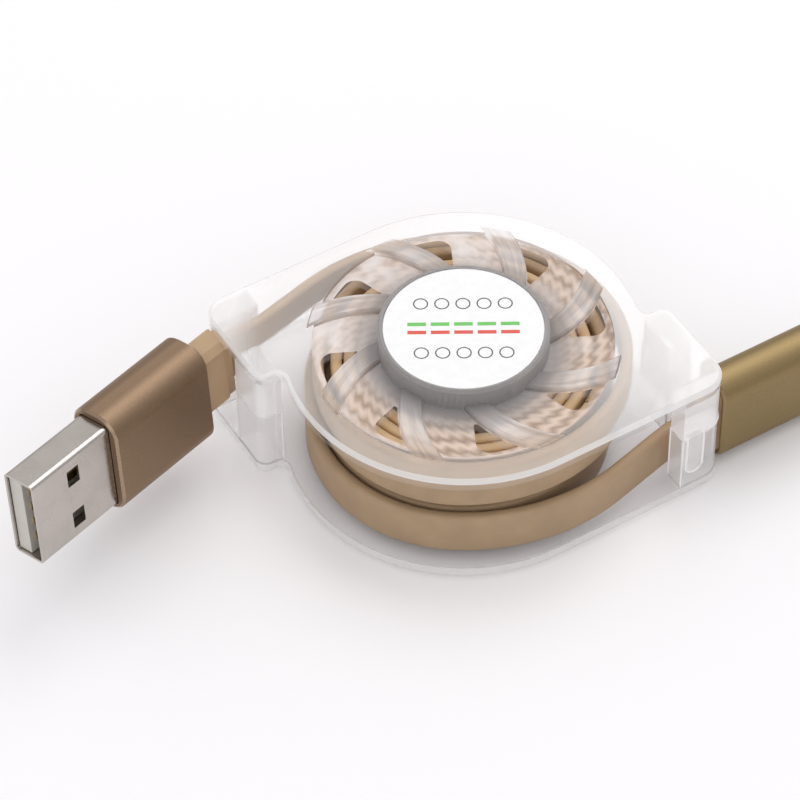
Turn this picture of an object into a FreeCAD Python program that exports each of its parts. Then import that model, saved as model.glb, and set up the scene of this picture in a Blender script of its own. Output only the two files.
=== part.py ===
import FreeCAD
import Part
import math
import os

from FreeCAD import Placement, Rotation, Vector

# Retractable flat charging cable: a clear two-plate case, a sprung reel with two wound layers of
# ribbon cable, and a plug on each end. Millimetres, +Z up, the reel's axis is the Z axis and the
# case stands on Z = 0. +X is the way that the lower layer's plug is pulled.

# Ribbon cable
ribbon_width = 6.1
ribbon_thickness = 1.4
ribbon_gap = 0.15
coil_turns = 3
coil_start_angle = 100.0
facet_angle = 15.0

# Clearances
running_gap = 0.3
seat_gap = 0.1
spindle_gap = 0.1

# Reel
hub_radius = 10.9
hub_wall = 1.2
hub_web = 1.1
divider_thickness = 0.8
divider_inset = 0.2
spindle_radius = 2.6
spindle_tip_bevel = 0.5
spring_cover_thickness = 1.0

# Return spring
spring_thickness = 0.35
spring_turns = 4
spring_clearance = 0.2
spring_tab = 2.0
spring_hook_radius = 0.8

# Lock ball and its track
ball_diameter = 2.2
ball_track_radius = 7.0
ball_travel = 1.2
ball_pocket_depth = 0.9
ball_clearance = 0.15

# Case plates: a disc with two corner ears
case_margin = 3.45
plate_thickness = 1.7
plate_edge_bevel = 0.35
ear_overhang = 2.2
ear_inner_edge = 7.6
ear_outer_corner = 3.2
ear_inner_corner = 1.4
notch_radius = 1.2

# Posts that join the plates at the ears, with the cable slot between them
post_inset = 0.1
outer_post_length = 6.5
outer_post_depth = 2.7
inner_post_length = 3.1
inner_post_depth = 5.6
split_share = 0.59
clip_width = 2.2
clip_depth = 0.8
clip_length = 6.3
clip_setback = 4.7
clip_clearance = 0.12

# Turbine face of the top cover
boss_margin = 0.7
boss_height = 2.5
boss_wall = 1.2
boss_edge_bevel = 0.3
label_margin = 0.7
label_thickness = 0.12
label_recess = 0.25
rim_band = 3.6
panel_depth = 0.5
arm_count = 8
arm_first_angle = 20.0
arm_sweep = 26.0
arm_overrun = 0.8
arm_rise = 0.25
arm_inner_width = 3.0
arm_outer_width = 3.8
arm_edge_bevel = 0.2
window_boss_gap = 2.4
window_rim_gap = 0.8
window_arm_gap = 0.15
window_lag = 1.7
window_shoulder = 1.6
window_shoulder_turn = 6.5

# Cable run from the outer turn to the slot
run_start_angle = -55.0
loose_start_angle = 235.0
exit_angle = 14.0
exit_bend_radius = 10.0
exit_side_gap = 1.2
run_setback = 4.35

# Plug shared by both ends: aluminium sleeve, inner mould and strain relief
sleeve_length = 16.0
sleeve_wall = 0.6
sleeve_bevel = 0.3
mould_recess = 0.06
mould_gap = 0.03
relief_flange = 2.4
relief_recess = 0.1
contact_thickness = 0.2
contact_setback = 0.9

# Plug on the upper layer
usb_a_sleeve_side = 1.1
usb_a_sleeve_rise = 1.25
usb_a_sleeve_radius = 2.8
usb_a_relief_height = 9.2
usb_a_relief_thickness = 4.2
usb_a_relief_length = 4.1
usb_a_relief_chamfer = 0.8
usb_a_yaw = 18.8
usb_a_pitch = 3.8
usb_a_roll = 7.0
usb_a_neck_gap = 0.1
usb_a_end_gap = 0.2
usb_a_side_shift = 0.2
usb_a_sag = 0.9
usb_a_width = 12.0
usb_a_thickness = 4.5
usb_a_length = 12.6
usb_a_wall = 0.32
usb_a_corner = 0.6
usb_a_depth = 7.0
usb_a_hole_width = 2.35
usb_a_hole_length = 1.9
usb_a_hole_spacing = 6.3
usb_a_hole_from_tip = 6.4
usb_a_tongue_thickness = 1.9
usb_a_tongue_recess = 0.35
usb_a_contact_count = 4
usb_a_contact_pitch = 2.25
usb_a_contact_width = 1.1
usb_a_contact_length = 7.6

# Plug on the lower layer
usb_c_sleeve_side = 2.4
usb_c_sleeve_rise = 1.6
usb_c_sleeve_radius = 2.7
usb_c_relief_height = 8.4
usb_c_relief_thickness = 2.6
usb_c_relief_length = 2.6
usb_c_relief_chamfer = 0.6
usb_c_sleeve_gap = 0.4
usb_c_side_shift = 0.2
usb_c_ground_gap = 0.25
usb_c_width = 8.25
usb_c_thickness = 2.4
usb_c_length = 6.6
usb_c_wall = 0.25
usb_c_depth = 5.0
usb_c_slot_width = 6.9
usb_c_slot_height = 1.0
usb_c_slot_depth = 5.2
usb_c_contact_count = 6
usb_c_contact_pitch = 1.0
usb_c_contact_width = 0.5
usb_c_contact_length = 3.6

# Heights that follow
lower_z = plate_thickness + running_gap
divider_z = lower_z + ribbon_width + running_gap
upper_z = divider_z + divider_thickness + running_gap
ceiling_z = upper_z + ribbon_width + running_gap
case_height = ceiling_z + plate_thickness
split_z = plate_thickness + split_share * (ceiling_z - plate_thickness)
boss_top = case_height + boss_height
panel_z = case_height - panel_depth
track_depth = ball_diameter - ball_pocket_depth + ball_clearance + running_gap
cavity_floor = lower_z + track_depth + hub_web
hub_top = ceiling_z - running_gap
spring_cover_z = hub_top - spring_cover_thickness
spindle_top = boss_top - boss_wall - running_gap

# Radii and places that follow
ribbon_pitch = ribbon_thickness + ribbon_gap
coil_start_radius = hub_radius + seat_gap + ribbon_thickness / 2
coil_outer_radius = coil_start_radius + coil_turns * ribbon_pitch + ribbon_thickness / 2
outer_turn_radius = coil_outer_radius + running_gap + ribbon_thickness / 2
divider_radius = coil_outer_radius - divider_inset
bore_radius = spindle_radius + spindle_gap
cavity_radius = hub_radius - hub_wall
case_radius = outer_turn_radius + case_margin
ear_reach = case_radius + ear_overhang
slot_inner = ear_inner_edge + inner_post_depth
slot_outer = case_radius - outer_post_depth
exit_offset = slot_outer - exit_side_gap - ribbon_thickness / 2
clip_centre = ear_reach - clip_setback
boss_radius = hub_radius - boss_margin
label_radius = boss_radius - label_margin
panel_radius = case_radius - rim_band
arm_outer_radius = panel_radius + arm_overrun
window_inner_radius = boss_radius + window_boss_gap
window_outer_radius = panel_radius - window_rim_gap
arm_inner_radius = boss_radius - boss_wall / 2
usb_a_sleeve_height = usb_a_width + 2 * usb_a_sleeve_side
usb_a_sleeve_thickness = usb_a_thickness + 2 * usb_a_sleeve_rise
usb_a_end_x = -ear_reach - usb_a_end_gap
usb_c_sleeve_height = usb_c_width + 2 * usb_c_sleeve_side
usb_c_sleeve_thickness = usb_c_thickness + 2 * usb_c_sleeve_rise

tolerance = 1e-6
up = Vector(0, 0, 1)
origin = Vector(0, 0, 0)


def polar(radius, degrees, z=0.0):
    angle = math.radians(degrees)
    return Vector(radius * math.cos(angle), radius * math.sin(angle), z)


def line(start, end):
    return Part.LineSegment(start, end).toShape()


def arc(start, middle, end):
    return Part.Arc(start, middle, end).toShape()


def prism(edges, z, height):
    face = Part.Face(Part.Wire(edges))
    face.translate(Vector(0, 0, z))
    return face.extrude(Vector(0, 0, height))


def cylinder(radius, z, height):
    return Part.makeCylinder(radius, height, Vector(0, 0, z))


def ring(outer, inner, z, height):
    return cylinder(outer, z, height).cut(cylinder(inner, z, height))


def turned(shape, degrees):
    copy = shape.copy()
    copy.rotate(origin, up, degrees)
    return copy


def both_ears(shape):
    return [shape, turned(shape, 180)]


def edges_at(shape, z):
    return [e for e in shape.Edges if max(abs(e.BoundBox.ZMin - z), abs(e.BoundBox.ZMax - z)) < tolerance]


def case_outline(inset=0.0):
    """Disc with two corner ears, as a list of tangent edges."""
    radius = case_radius - inset
    reach = ear_reach - inset
    inner = ear_inner_edge + inset
    outer_corner = ear_outer_corner - inset
    inner_corner = ear_inner_corner - inset
    notch = notch_radius + inset
    notch_y = notch - inner
    notch_x = math.sqrt((radius + notch) ** 2 - notch_y ** 2)
    notch_angle = math.degrees(math.atan2(notch_y, notch_x))
    outer_centre = Vector(reach - outer_corner, outer_corner - radius, 0)
    inner_centre = Vector(reach - inner_corner, -inner - inner_corner, 0)
    notch_centre = Vector(notch_x, notch_y, 0)
    outer_start = outer_centre + polar(outer_corner, -90)
    outer_end = outer_centre + polar(outer_corner, 0)
    inner_start = inner_centre + polar(inner_corner, 0)
    inner_end = inner_centre + polar(inner_corner, 90)
    notch_start = notch_centre + polar(notch, -90)
    notch_end = polar(radius, notch_angle)
    notch_middle = notch_centre + polar(notch, (notch_angle - 270) / 2)
    half = [
        line(Vector(0, -radius, 0), outer_start),
        arc(outer_start, outer_centre + polar(outer_corner, -45), outer_end),
        line(outer_end, inner_start),
        arc(inner_start, inner_centre + polar(inner_corner, 45), inner_end),
        line(inner_end, notch_start),
        arc(notch_start, notch_middle, notch_end),
        arc(notch_end, polar(radius, (notch_angle + 90) / 2), polar(radius, 90)),
    ]
    return half + [turned(edge, 180) for edge in half]


def case_plate(z, outer_z):
    """Plate at height z whose rim is bevelled on the outer side."""
    plate = prism(case_outline(), z, plate_thickness)
    return plate.makeChamfer(plate_edge_bevel, edges_at(plate, outer_z))


def post(x_start, y_near, y_far, z, height):
    """Part of the inset ear outline between two lines along X."""
    column = prism(case_outline(post_inset), z, height)
    window = Part.makeBox(ear_reach, y_far - y_near, height, Vector(x_start, -y_far, z))
    return column.common(window)


def ear_posts(z, height):
    outer = post(ear_reach - outer_post_length, slot_outer, case_radius, z, height)
    inner = post(ear_reach - inner_post_length, ear_inner_edge, slot_inner, z, height)
    return both_ears(outer) + both_ears(inner)


def clip_tongue(clearance, overlap):
    """U-shaped tongue on the face of an outer post, hanging below the split."""
    half = clip_width / 2 + clearance
    face_y = post_inset - case_radius
    depth = clip_depth + clearance
    top = split_z + overlap
    straight = split_z - clip_length + clip_width / 2
    corners = [Vector(clip_centre + half, face_y, straight), Vector(clip_centre + half, face_y, top),
               Vector(clip_centre - half, face_y, top), Vector(clip_centre - half, face_y, straight)]
    edges = [line(a, b) for a, b in zip(corners, corners[1:])]
    edges.append(arc(corners[-1], Vector(clip_centre, face_y, straight - half), corners[0]))
    return Part.Face(Part.Wire(edges)).extrude(Vector(0, depth, 0))


def arm_edge(radius, side, gap=0.0):
    """Point on an arm's trailing (-1) or leading (1) edge, or a gap away from it."""
    share = (radius - arm_inner_radius) / (arm_outer_radius - arm_inner_radius)
    half = (arm_inner_width + share * (arm_outer_width - arm_inner_width)) / 2 + gap
    return polar(radius, arm_first_angle + share * arm_sweep + side * math.degrees(half / radius))


def turbine_arm():
    """Raised arm that sweeps from the boss to the rim band."""
    radii = (arm_inner_radius, (arm_inner_radius + arm_outer_radius) / 2, arm_outer_radius)
    trailing = [arm_edge(radius, -1) for radius in radii]
    leading = [arm_edge(radius, 1) for radius in reversed(radii)]
    tip = polar(arm_outer_radius, arm_first_angle + arm_sweep)
    edges = [arc(*trailing), arc(trailing[2], tip, leading[0]), arc(*leading), line(leading[2], trailing[0])]
    base = panel_z - panel_depth
    arm = prism(edges, base, case_height + arm_rise - base)
    return arm.makeChamfer(arm_edge_bevel, edges_at(arm, case_height + arm_rise)[:3])


def turbine_window():
    """Opening beside an arm's trailing edge, with a round shoulder towards the rim."""
    first = arm_first_angle - window_lag
    shoulder_radius = window_outer_radius - window_shoulder
    radii = (window_outer_radius, (window_inner_radius + window_outer_radius) / 2, window_inner_radius)
    beside_arm = [arm_edge(radius, -1, window_arm_gap) for radius in radii]
    corner = polar(window_inner_radius, first)
    shoulder = polar(shoulder_radius, first)
    shoulder_middle = polar(window_outer_radius - window_shoulder / 4, first + window_shoulder_turn / 3)
    outer_start = polar(window_outer_radius, first + window_shoulder_turn)
    outer_way = outer_start + beside_arm[0]
    outer_middle = outer_way * (window_outer_radius / outer_way.Length)
    edges = [line(corner, shoulder), arc(shoulder, shoulder_middle, outer_start),
             arc(outer_start, outer_middle, beside_arm[0]), arc(*beside_arm), line(beside_arm[2], corner)]
    return prism(edges, ceiling_z, plate_thickness)


def pattern(shape):
    return [turned(shape, index * 360 / arm_count) for index in range(arm_count)]


def top_cover():
    plate = case_plate(ceiling_z, case_height)
    plate = plate.cut(ring(panel_radius, boss_radius - boss_wall, panel_z, panel_depth))
    boss = cylinder(boss_radius, ceiling_z, boss_top - ceiling_z)
    boss = boss.makeChamfer(boss_edge_bevel, edges_at(boss, boss_top))
    posts = ear_posts(split_z, ceiling_z - split_z)
    cover = plate.multiFuse([boss] + pattern(turbine_arm()) + posts)
    cover = cover.multiFuse(both_ears(clip_tongue(0.0, clip_depth)))
    cavity = cylinder(boss_radius - boss_wall, ceiling_z, boss_top - boss_wall - ceiling_z)
    recess = cylinder(label_radius + seat_gap, boss_top - label_recess, label_recess)
    return cover.cut([cavity, recess] + pattern(turbine_window())).removeSplitter()


def ball_pocket():
    """Radial slot in the floor plate that guides the lock ball."""
    radius = ball_diameter / 2 + ball_clearance
    z = plate_thickness - ball_pocket_depth
    ends = [ball_track_radius, ball_track_radius + ball_travel]
    rounds = [Part.makeCylinder(radius, ball_pocket_depth, Vector(x, 0, z)) for x in ends]
    middle = Part.makeBox(ball_travel, 2 * radius, ball_pocket_depth, Vector(ball_track_radius, -radius, z))
    return middle.multiFuse(rounds)


def spring_slit():
    """Slit in the spindle, open at its tip, that holds the spring's inner tab."""
    width = spring_thickness + 2 * seat_gap
    reach = spindle_radius - spring_tab - seat_gap
    return Part.makeBox(2 * spindle_radius, width, spindle_top - cavity_floor,
                        Vector(reach, -width / 2, cavity_floor))


def bottom_cover():
    plate = case_plate(0, 0)
    spindle = cylinder(spindle_radius, 0, spindle_top)
    spindle = spindle.makeChamfer(spindle_tip_bevel, edges_at(spindle, spindle_top))
    posts = ear_posts(plate_thickness, split_z - plate_thickness)
    cover = plate.multiFuse([spindle] + posts)
    cuts = [ball_pocket(), spring_slit()] + both_ears(clip_tongue(clip_clearance, 0.0))
    return cover.cut(cuts).removeSplitter()


def label_disc():
    return cylinder(label_radius, boss_top - label_recess, label_thickness)


def reel_spool():
    """Hub drum with the divider flange, the spindle's bore, a spring cavity and the ball's track."""
    drum = cylinder(hub_radius, lower_z, spring_cover_z - lower_z)
    divider = cylinder(divider_radius, divider_z, divider_thickness)
    cavity = cylinder(cavity_radius, cavity_floor, spring_cover_z - cavity_floor)
    bore = cylinder(bore_radius, lower_z, cavity_floor - lower_z)
    track_reach = ball_diameter / 2 + ball_clearance + running_gap
    track = ring(ball_track_radius + ball_travel + track_reach, ball_track_radius - track_reach,
                 lower_z, track_depth)
    return drum.fuse(divider).cut([cavity, bore, track]).removeSplitter()


def spring_cover():
    """Lid on the drum, with the spindle's second bearing."""
    return ring(hub_radius, bore_radius, spring_cover_z, spring_cover_thickness)


def lock_ball():
    z = plate_thickness - ball_pocket_depth + ball_diameter / 2
    return Part.makeSphere(ball_diameter / 2, Vector(ball_track_radius, 0, z))


def ribbon_corners(place, heading, z):
    """Corners of the ribbon's upright section across a heading."""
    side = polar(ribbon_thickness / 2, heading - 90)
    low = place + Vector(0, 0, z)
    high = low + Vector(0, 0, ribbon_width)
    return [low - side, low + side, high + side, high - side]


def lay_strip(place, heading, steps, thickness, z, width):
    """Upright strip along steps of (length) or (bend radius, turn in degrees); left turns are positive.

    Bends are laid in short flats. Returns the solid, its length, and the place and heading at its end.
    """
    stations = [(place, heading)]
    length = 0.0
    for step in steps:
        if len(step) == 1:
            place = place + polar(step[0], heading)
            stations.append((place, heading))
            length += step[0]
            continue
        bend, turn = step
        side = math.copysign(90, turn)
        centre = place + polar(bend, heading + side)
        flats = math.ceil(abs(turn) / facet_angle)
        for index in range(1, flats + 1):
            way = heading + turn * index / flats
            stations.append((centre + polar(bend, way - side), way))
        place, heading = stations[-1]
        length += bend * math.radians(abs(turn))
    left = [spot + polar(thickness / 2, way + 90) for spot, way in stations]
    right = [spot + polar(thickness / 2, way - 90) for spot, way in stations]
    outline = Part.makePolygon(left + right[::-1] + left[:1])
    outline.translate(Vector(0, 0, z))
    return Part.Face(outline).extrude(Vector(0, 0, width)), length, place, heading


def half_turns(first_radius, pitch, turns):
    """Spiral as half turns whose radius grows by half the pitch."""
    return [(first_radius + index * pitch / 2, 180) for index in range(2 * turns)]


def coil(z):
    """Turns that ride on the hub."""
    start = polar(coil_start_radius, coil_start_angle)
    steps = half_turns(coil_start_radius, ribbon_pitch, coil_turns)
    return lay_strip(start, coil_start_angle + 90, steps, ribbon_thickness, z, ribbon_width)


def run(z):
    """Outer turn that opens into a loose loop and leaves through the slot along +X.

    The loop's radius and the straight after it are what brings the end to the slot.
    """
    start = polar(outer_turn_radius, run_start_angle)
    leave = polar(outer_turn_radius, loose_start_angle)
    end = Vector(ear_reach - run_setback, -exit_offset, 0)
    exit_way = polar(1, exit_angle)
    bend_move = Vector(exit_way.y, 1 - exit_way.x, 0) * exit_bend_radius
    loop_move = polar(1, exit_angle - 90) - polar(1, loose_start_angle)
    to_go = end - bend_move - leave
    scale = loop_move.x * exit_way.y - loop_move.y * exit_way.x
    loose_radius = (to_go.x * exit_way.y - to_go.y * exit_way.x) / scale
    straight = (loop_move.x * to_go.y - loop_move.y * to_go.x) / scale
    loose_turn = 270 + exit_angle - loose_start_angle
    steps = [(outer_turn_radius, loose_start_angle - run_start_angle), (loose_radius, loose_turn),
             (straight,), (exit_bend_radius, -exit_angle)]
    return lay_strip(start, run_start_angle + 90, steps, ribbon_thickness, z, ribbon_width)


def return_spring():
    """Spiral strip from a tab in the spindle's slit to the wall of the hub's cavity."""
    tab_start = spindle_radius - spring_tab
    inner = spindle_radius + spring_clearance + spring_hook_radius
    outer = cavity_radius - spring_clearance - spring_thickness / 2
    steps = [(inner - spring_hook_radius - tab_start,), (spring_hook_radius, 90)]
    steps += half_turns(inner, (outer - inner) / spring_turns, spring_turns)
    z = cavity_floor + spring_clearance
    width = spring_cover_z - spring_clearance - z
    return lay_strip(Vector(tab_start, 0, 0), 0, steps, spring_thickness, z, width)[0]


def bar(start, length, height, thickness, radius):
    """Rounded bar along the plug's own X, centred on it: height along Z, thickness along Y."""
    bow = radius * (1 - math.sqrt(0.5))
    y = thickness / 2
    z = height / 2
    corners = []
    for side, top in ((1, 1), (-1, 1), (-1, -1), (1, -1)):
        near = Vector(start, side * (y - radius), top * z)
        far = Vector(start, side * y, top * (z - radius))
        middle = Vector(start, side * (y - bow), top * (z - bow))
        ends = (far, near) if side == top else (near, far)
        corners.append((ends[0], middle, ends[1]))
    edges = []
    for corner, following in zip(corners, corners[1:] + corners[:1]):
        edges.append(arc(*corner))
        if corner[2].distanceToPoint(following[0]) > tolerance:
            edges.append(line(corner[2], following[0]))
    return Part.Face(Part.Wire(edges)).extrude(Vector(length, 0, 0))


def end_edges(shape, x):
    return [e for e in shape.Edges if max(abs(e.BoundBox.XMin - x), abs(e.BoundBox.XMax - x)) < tolerance]


def sleeve(height, thickness, radius):
    """Extruded aluminium sleeve with bevelled rims; its front rim is at X = 0."""
    outer = bar(-sleeve_length, sleeve_length, height, thickness, radius)
    outer = outer.makeChamfer(sleeve_bevel, end_edges(outer, 0) + end_edges(outer, -sleeve_length))
    inner = bar(-sleeve_length, sleeve_length, height - 2 * sleeve_wall, thickness - 2 * sleeve_wall,
                radius - sleeve_wall)
    return outer.cut(inner)


def strain_relief(height, thickness, radius, neck_height, neck_thickness, neck_length, chamfer):
    """Moulded plug that closes the sleeve's rear, with a chamfered neck for the ribbon."""
    back = relief_recess - sleeve_length
    play = 2 * (sleeve_wall + seat_gap)
    flange = bar(back, relief_flange, height - play, thickness - play, radius - play / 2)
    start = -sleeve_length - neck_length
    neck = Part.makeBox(neck_length + relief_recess, neck_thickness, neck_height,
                        Vector(start, -neck_thickness / 2, -neck_height / 2))
    long_edges = [e for e in neck.Edges if e.BoundBox.XLength > neck_length]
    return flange.fuse(neck.makeChamfer(chamfer, long_edges)).removeSplitter()


def inner_mould(height, thickness, radius, shell_bar):
    """Body inside the sleeve that grips the connector shell."""
    start = relief_recess - sleeve_length + relief_flange + seat_gap
    play = 2 * (sleeve_wall + mould_gap)
    body = bar(start, -mould_recess - start, height - play, thickness - play, radius - play / 2)
    return body.cut(shell_bar)


def usb_a_shell():
    start = -usb_a_depth
    length = usb_a_depth + usb_a_length
    outer = bar(start, length, usb_a_width, usb_a_thickness, usb_a_corner)
    inner = bar(start, length, usb_a_width - 2 * usb_a_wall, usb_a_thickness - 2 * usb_a_wall,
                usb_a_corner - usb_a_wall)
    hole_x = usb_a_length - usb_a_hole_from_tip - usb_a_hole_length / 2
    holes = [Part.makeBox(usb_a_hole_length, usb_a_thickness, usb_a_hole_width,
                          Vector(hole_x, -usb_a_thickness / 2, z - usb_a_hole_width / 2))
             for z in (-usb_a_hole_spacing / 2, usb_a_hole_spacing / 2)]
    return outer.cut([inner] + holes)


def usb_a_tongue():
    height = usb_a_width - 2 * (usb_a_wall + seat_gap)
    length = usb_a_depth + usb_a_length - usb_a_tongue_recess
    back = usb_a_wall + seat_gap - usb_a_thickness / 2
    return Part.makeBox(length, usb_a_tongue_thickness, height, Vector(-usb_a_depth, back, -height / 2))


def usb_a_contacts():
    face = usb_a_wall + seat_gap - usb_a_thickness / 2 + usb_a_tongue_thickness
    start = usb_a_length - usb_a_tongue_recess - contact_setback - usb_a_contact_length
    first = -(usb_a_contact_count - 1) / 2 * usb_a_contact_pitch - usb_a_contact_width / 2
    strips = [Part.makeBox(usb_a_contact_length, contact_thickness, usb_a_contact_width,
                           Vector(start, face, first + index * usb_a_contact_pitch))
              for index in range(usb_a_contact_count)]
    return Part.makeCompound(strips)


def usb_c_shell():
    start = -usb_c_depth
    length = usb_c_depth + usb_c_length
    outer = bar(start, length, usb_c_width, usb_c_thickness, usb_c_thickness / 2)
    outer = outer.makeChamfer(usb_c_wall / 2, end_edges(outer, usb_c_length))
    thin = usb_c_thickness - 2 * usb_c_wall
    return outer.cut(bar(start, length, usb_c_width - 2 * usb_c_wall, thin, thin / 2))


def usb_c_insert():
    """Plastic core with the slot that a socket's tongue enters."""
    play = 2 * (usb_c_wall + seat_gap)
    thin = usb_c_thickness - play
    core = bar(-usb_c_depth, usb_c_depth + usb_c_length - usb_c_wall, usb_c_width - play, thin, thin / 2)
    corner = Vector(usb_c_length - usb_c_slot_depth, -usb_c_slot_height / 2, -usb_c_slot_width / 2)
    return core.cut(Part.makeBox(usb_c_slot_depth, usb_c_slot_height, usb_c_slot_width, corner))


def usb_c_contacts():
    start = usb_c_length - usb_c_wall - contact_setback - usb_c_contact_length
    first = -(usb_c_contact_count - 1) / 2 * usb_c_contact_pitch - usb_c_contact_width / 2
    strips = []
    for face in (-usb_c_slot_height / 2, usb_c_slot_height / 2 - contact_thickness):
        strips += [Part.makeBox(usb_c_contact_length, contact_thickness, usb_c_contact_width,
                                Vector(start, face, first + index * usb_c_contact_pitch))
                   for index in range(usb_c_contact_count)]
    return Part.makeCompound(strips)


def neck_corners(plug, neck_length, drop):
    """Corners of the ribbon's section at the back of a plug's strain relief."""
    back = Vector(-sleeve_length - neck_length, 0, 0)
    return [plug.multVec(corner) for corner in ribbon_corners(back, 0, drop - ribbon_width / 2)]


def slid_to_ear(corners, plug):
    """Corners moved along the plug's axis to the slanted end of its neck, beside the ear."""
    way = plug.Rotation.multVec(Vector(1, 0, 0))
    return [corner + way * ((usb_a_end_x - corner.x) / way.x) for corner in corners]


def tail(first, last):
    """Ribbon from the run's last corners to the corners at a plug's neck."""
    wires = [Part.makePolygon(corners + corners[:1]) for corners in (first, last)]
    return Part.makeLoft(wires, True, True)


def usb_a_relief(section):
    """Strain relief whose neck is long enough to be cut off along the ear."""
    slant = usb_a_relief_thickness * math.tan(math.radians(usb_a_yaw))
    slant += usb_a_relief_height * math.tan(math.radians(usb_a_pitch))
    return strain_relief(*section, usb_a_relief_height, usb_a_relief_thickness, usb_a_relief_length + slant,
                         usb_a_relief_chamfer)


def ear_side():
    """Room of the case, from the plane of the slanted neck inwards."""
    return Part.makeBox(ear_reach, 2 * case_radius, 2 * case_height,
                        Vector(usb_a_end_x, -case_radius, -case_height / 2))


def usb_a_placement():
    """Front of the sleeve's rim, worked out from the neck's back corner beside the ear."""
    turn = Rotation(up, 180 + usb_a_yaw)
    turn = turn.multiply(Rotation(Vector(0, 1, 0), -usb_a_pitch))
    turn = turn.multiply(Rotation(Vector(1, 0, 0), usb_a_roll))
    corner_side = usb_a_relief_thickness / 2 * math.sin(math.radians(usb_a_yaw))
    corner_top = (usb_a_relief_height / 2 - usb_a_relief_chamfer) * math.sin(math.radians(usb_a_pitch))
    neck_x = ear_reach + usb_a_neck_gap + corner_side + corner_top
    neck_back = Vector(-neck_x, exit_offset - usb_a_side_shift,
                       upper_z + ribbon_width / 2 - usb_a_sag)
    return Placement(neck_back + turn.multVec(Vector(sleeve_length + usb_a_relief_length, 0, 0)), turn)


def usb_c_placement():
    """Straight out of the slot, with the sleeve just clear of the floor."""
    front = ear_reach + usb_c_sleeve_gap + sleeve_length
    axis_z = usb_c_sleeve_height / 2 + usb_c_ground_gap
    return Placement(Vector(front, -exit_offset - usb_c_side_shift, axis_z), Rotation())


os.makedirs("parts", exist_ok=True)

usb_a_place = usb_a_placement()
usb_c_place = usb_c_placement()
lower_coil, coil_length, _, _ = coil(lower_z)
lower_run, run_length, run_end, run_heading = run(lower_z)

case_nodes = {
    "top_cover": top_cover(),
    "bottom_cover": bottom_cover(),
    "label_disc": label_disc(),
    "cable_lower_run": lower_run,
    "cable_upper_run": turned(run(upper_z)[0], 180),
    "lock_ball": lock_ball(),
}
reel_nodes = {
    "reel_spool": reel_spool(),
    "spring_cover": spring_cover(),
    "return_spring": return_spring(),
    "cable_lower_coil": lower_coil,
    "cable_upper_coil": turned(coil(upper_z)[0], 180),
}
usb_a_section = (usb_a_sleeve_height, usb_a_sleeve_thickness, usb_a_sleeve_radius)
usb_a_seat = bar(-usb_a_depth, usb_a_depth, usb_a_width + 2 * seat_gap, usb_a_thickness + 2 * seat_gap,
                 usb_a_corner + seat_gap)
usb_a_nodes = {
    "usb_a_sleeve": sleeve(*usb_a_section),
    "usb_a_strain_relief": usb_a_relief(usb_a_section),
    "usb_a_inner_mould": inner_mould(*usb_a_section, usb_a_seat),
    "usb_a_shell": usb_a_shell(),
    "usb_a_tongue": usb_a_tongue(),
    "usb_a_contacts": usb_a_contacts(),
}
usb_c_section = (usb_c_sleeve_height, usb_c_sleeve_thickness, usb_c_sleeve_radius)
usb_c_seat = bar(-usb_c_depth, usb_c_depth, usb_c_width + 2 * seat_gap, usb_c_thickness + 2 * seat_gap,
                 usb_c_thickness / 2 + seat_gap)
usb_c_nodes = {
    "usb_c_sleeve": sleeve(*usb_c_section),
    "usb_c_strain_relief": strain_relief(*usb_c_section, usb_c_relief_height, usb_c_relief_thickness,
                                         usb_c_relief_length, usb_c_relief_chamfer),
    "usb_c_inner_mould": inner_mould(*usb_c_section, usb_c_seat),
    "usb_c_shell": usb_c_shell(),
    "usb_c_insert": usb_c_insert(),
    "usb_c_contacts": usb_c_contacts(),
}
for nodes, place in ((usb_a_nodes, usb_a_place), (usb_c_nodes, usb_c_place)):
    for shape in nodes.values():
        shape.Placement = place.multiply(shape.Placement)

usb_a_nodes["usb_a_strain_relief"] = usb_a_nodes["usb_a_strain_relief"].cut(ear_side())

lower_drop = lower_z + ribbon_width / 2 - usb_c_place.Base.z
upper_end = Vector(-run_end.x, -run_end.y, 0)
lower_neck = neck_corners(usb_c_place, usb_c_relief_length, lower_drop)
upper_neck = slid_to_ear(neck_corners(usb_a_place, usb_a_relief_length, 0.0), usb_a_place)
tails = {
    "cable_right_tail": tail(ribbon_corners(run_end, run_heading, lower_z), lower_neck),
    "cable_left_tail": tail(ribbon_corners(upper_end, run_heading + 180, upper_z), upper_neck),
}

for name, shape in {**case_nodes, **reel_nodes, **usb_a_nodes, **usb_c_nodes, **tails}.items():
    shape.exportStep("parts/" + name + ".step")

print("case radius", round(case_radius, 2), "height", round(case_height, 2), "with boss", round(boss_top, 2))
print("ribbon in one layer", round(coil_length + run_length, 1), "of which coil", round(coil_length, 1))
print("run ends at", round(run_end.x, 2), round(run_end.y, 2), "heading", round(run_heading, 2))
print("plug fronts", usb_a_place.Base, usb_c_place.Base)
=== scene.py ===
"""Looks of a retractable flat charging cable: clear reel case, wound tan ribbon, two metal-sleeved plugs."""

import math

import bpy
from mathutils import Matrix, Vector

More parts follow.
